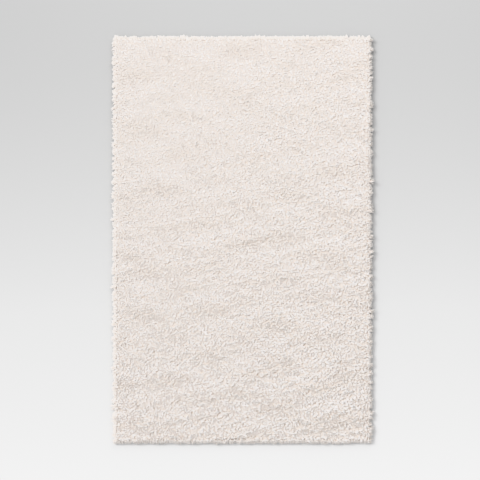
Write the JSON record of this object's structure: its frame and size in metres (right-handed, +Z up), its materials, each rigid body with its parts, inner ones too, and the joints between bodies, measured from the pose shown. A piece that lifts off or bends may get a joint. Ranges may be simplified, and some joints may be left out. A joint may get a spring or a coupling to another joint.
{
  "type": "area rug",
  "caption": "Rectangular cut-pile shag area rug: deep soft pile on a laminated woven backing, its raw edges bound with mitred folded tape.",
  "frame": {"origin": "on the floor under the middle of the rug, in the plane that its back lies on", "axes": "+X runs across the rug towards its right-hand side, +Y along it towards the head end, and +Z up out of the pile"},
  "size_m": [1.548, 2.428, 0.0349],
  "materials": {
    "pile_yarn": "cut pile of fine soft yarn, matt, warm off-white",
    "primary_cloth": "plain woven slit-tape cloth",
    "latex": "dried latex coat, dull",
    "secondary_cloth": "open leno-woven cloth, dull, tan",
    "binding_tape": "herringbone twill tape, matt, cream",
    "seam_thread": "twisted polyester thread, slight sheen",
    "label_cloth": "blank woven satin label, slight sheen"
  },
  "bodies": {
    "root": {"pile": "pile_yarn", "primary_backing": "primary_cloth", "latex_precoat": "latex", "secondary_backing": "secondary_cloth", "binding_tape_right": "binding_tape", "binding_tape_head": "binding_tape", "binding_tape_left": "binding_tape", "binding_tape_foot": "binding_tape", "bobbin_thread_right": "seam_thread", "bobbin_thread_head": "seam_thread", "bobbin_thread_left": "seam_thread", "bobbin_thread_foot": "seam_thread", "needle_thread_right": "seam_thread", "needle_thread_head": "seam_thread", "needle_thread_left": "seam_thread", "needle_thread_foot": "seam_thread", "care_label": "label_cloth"}
  },
  "joints": []
}
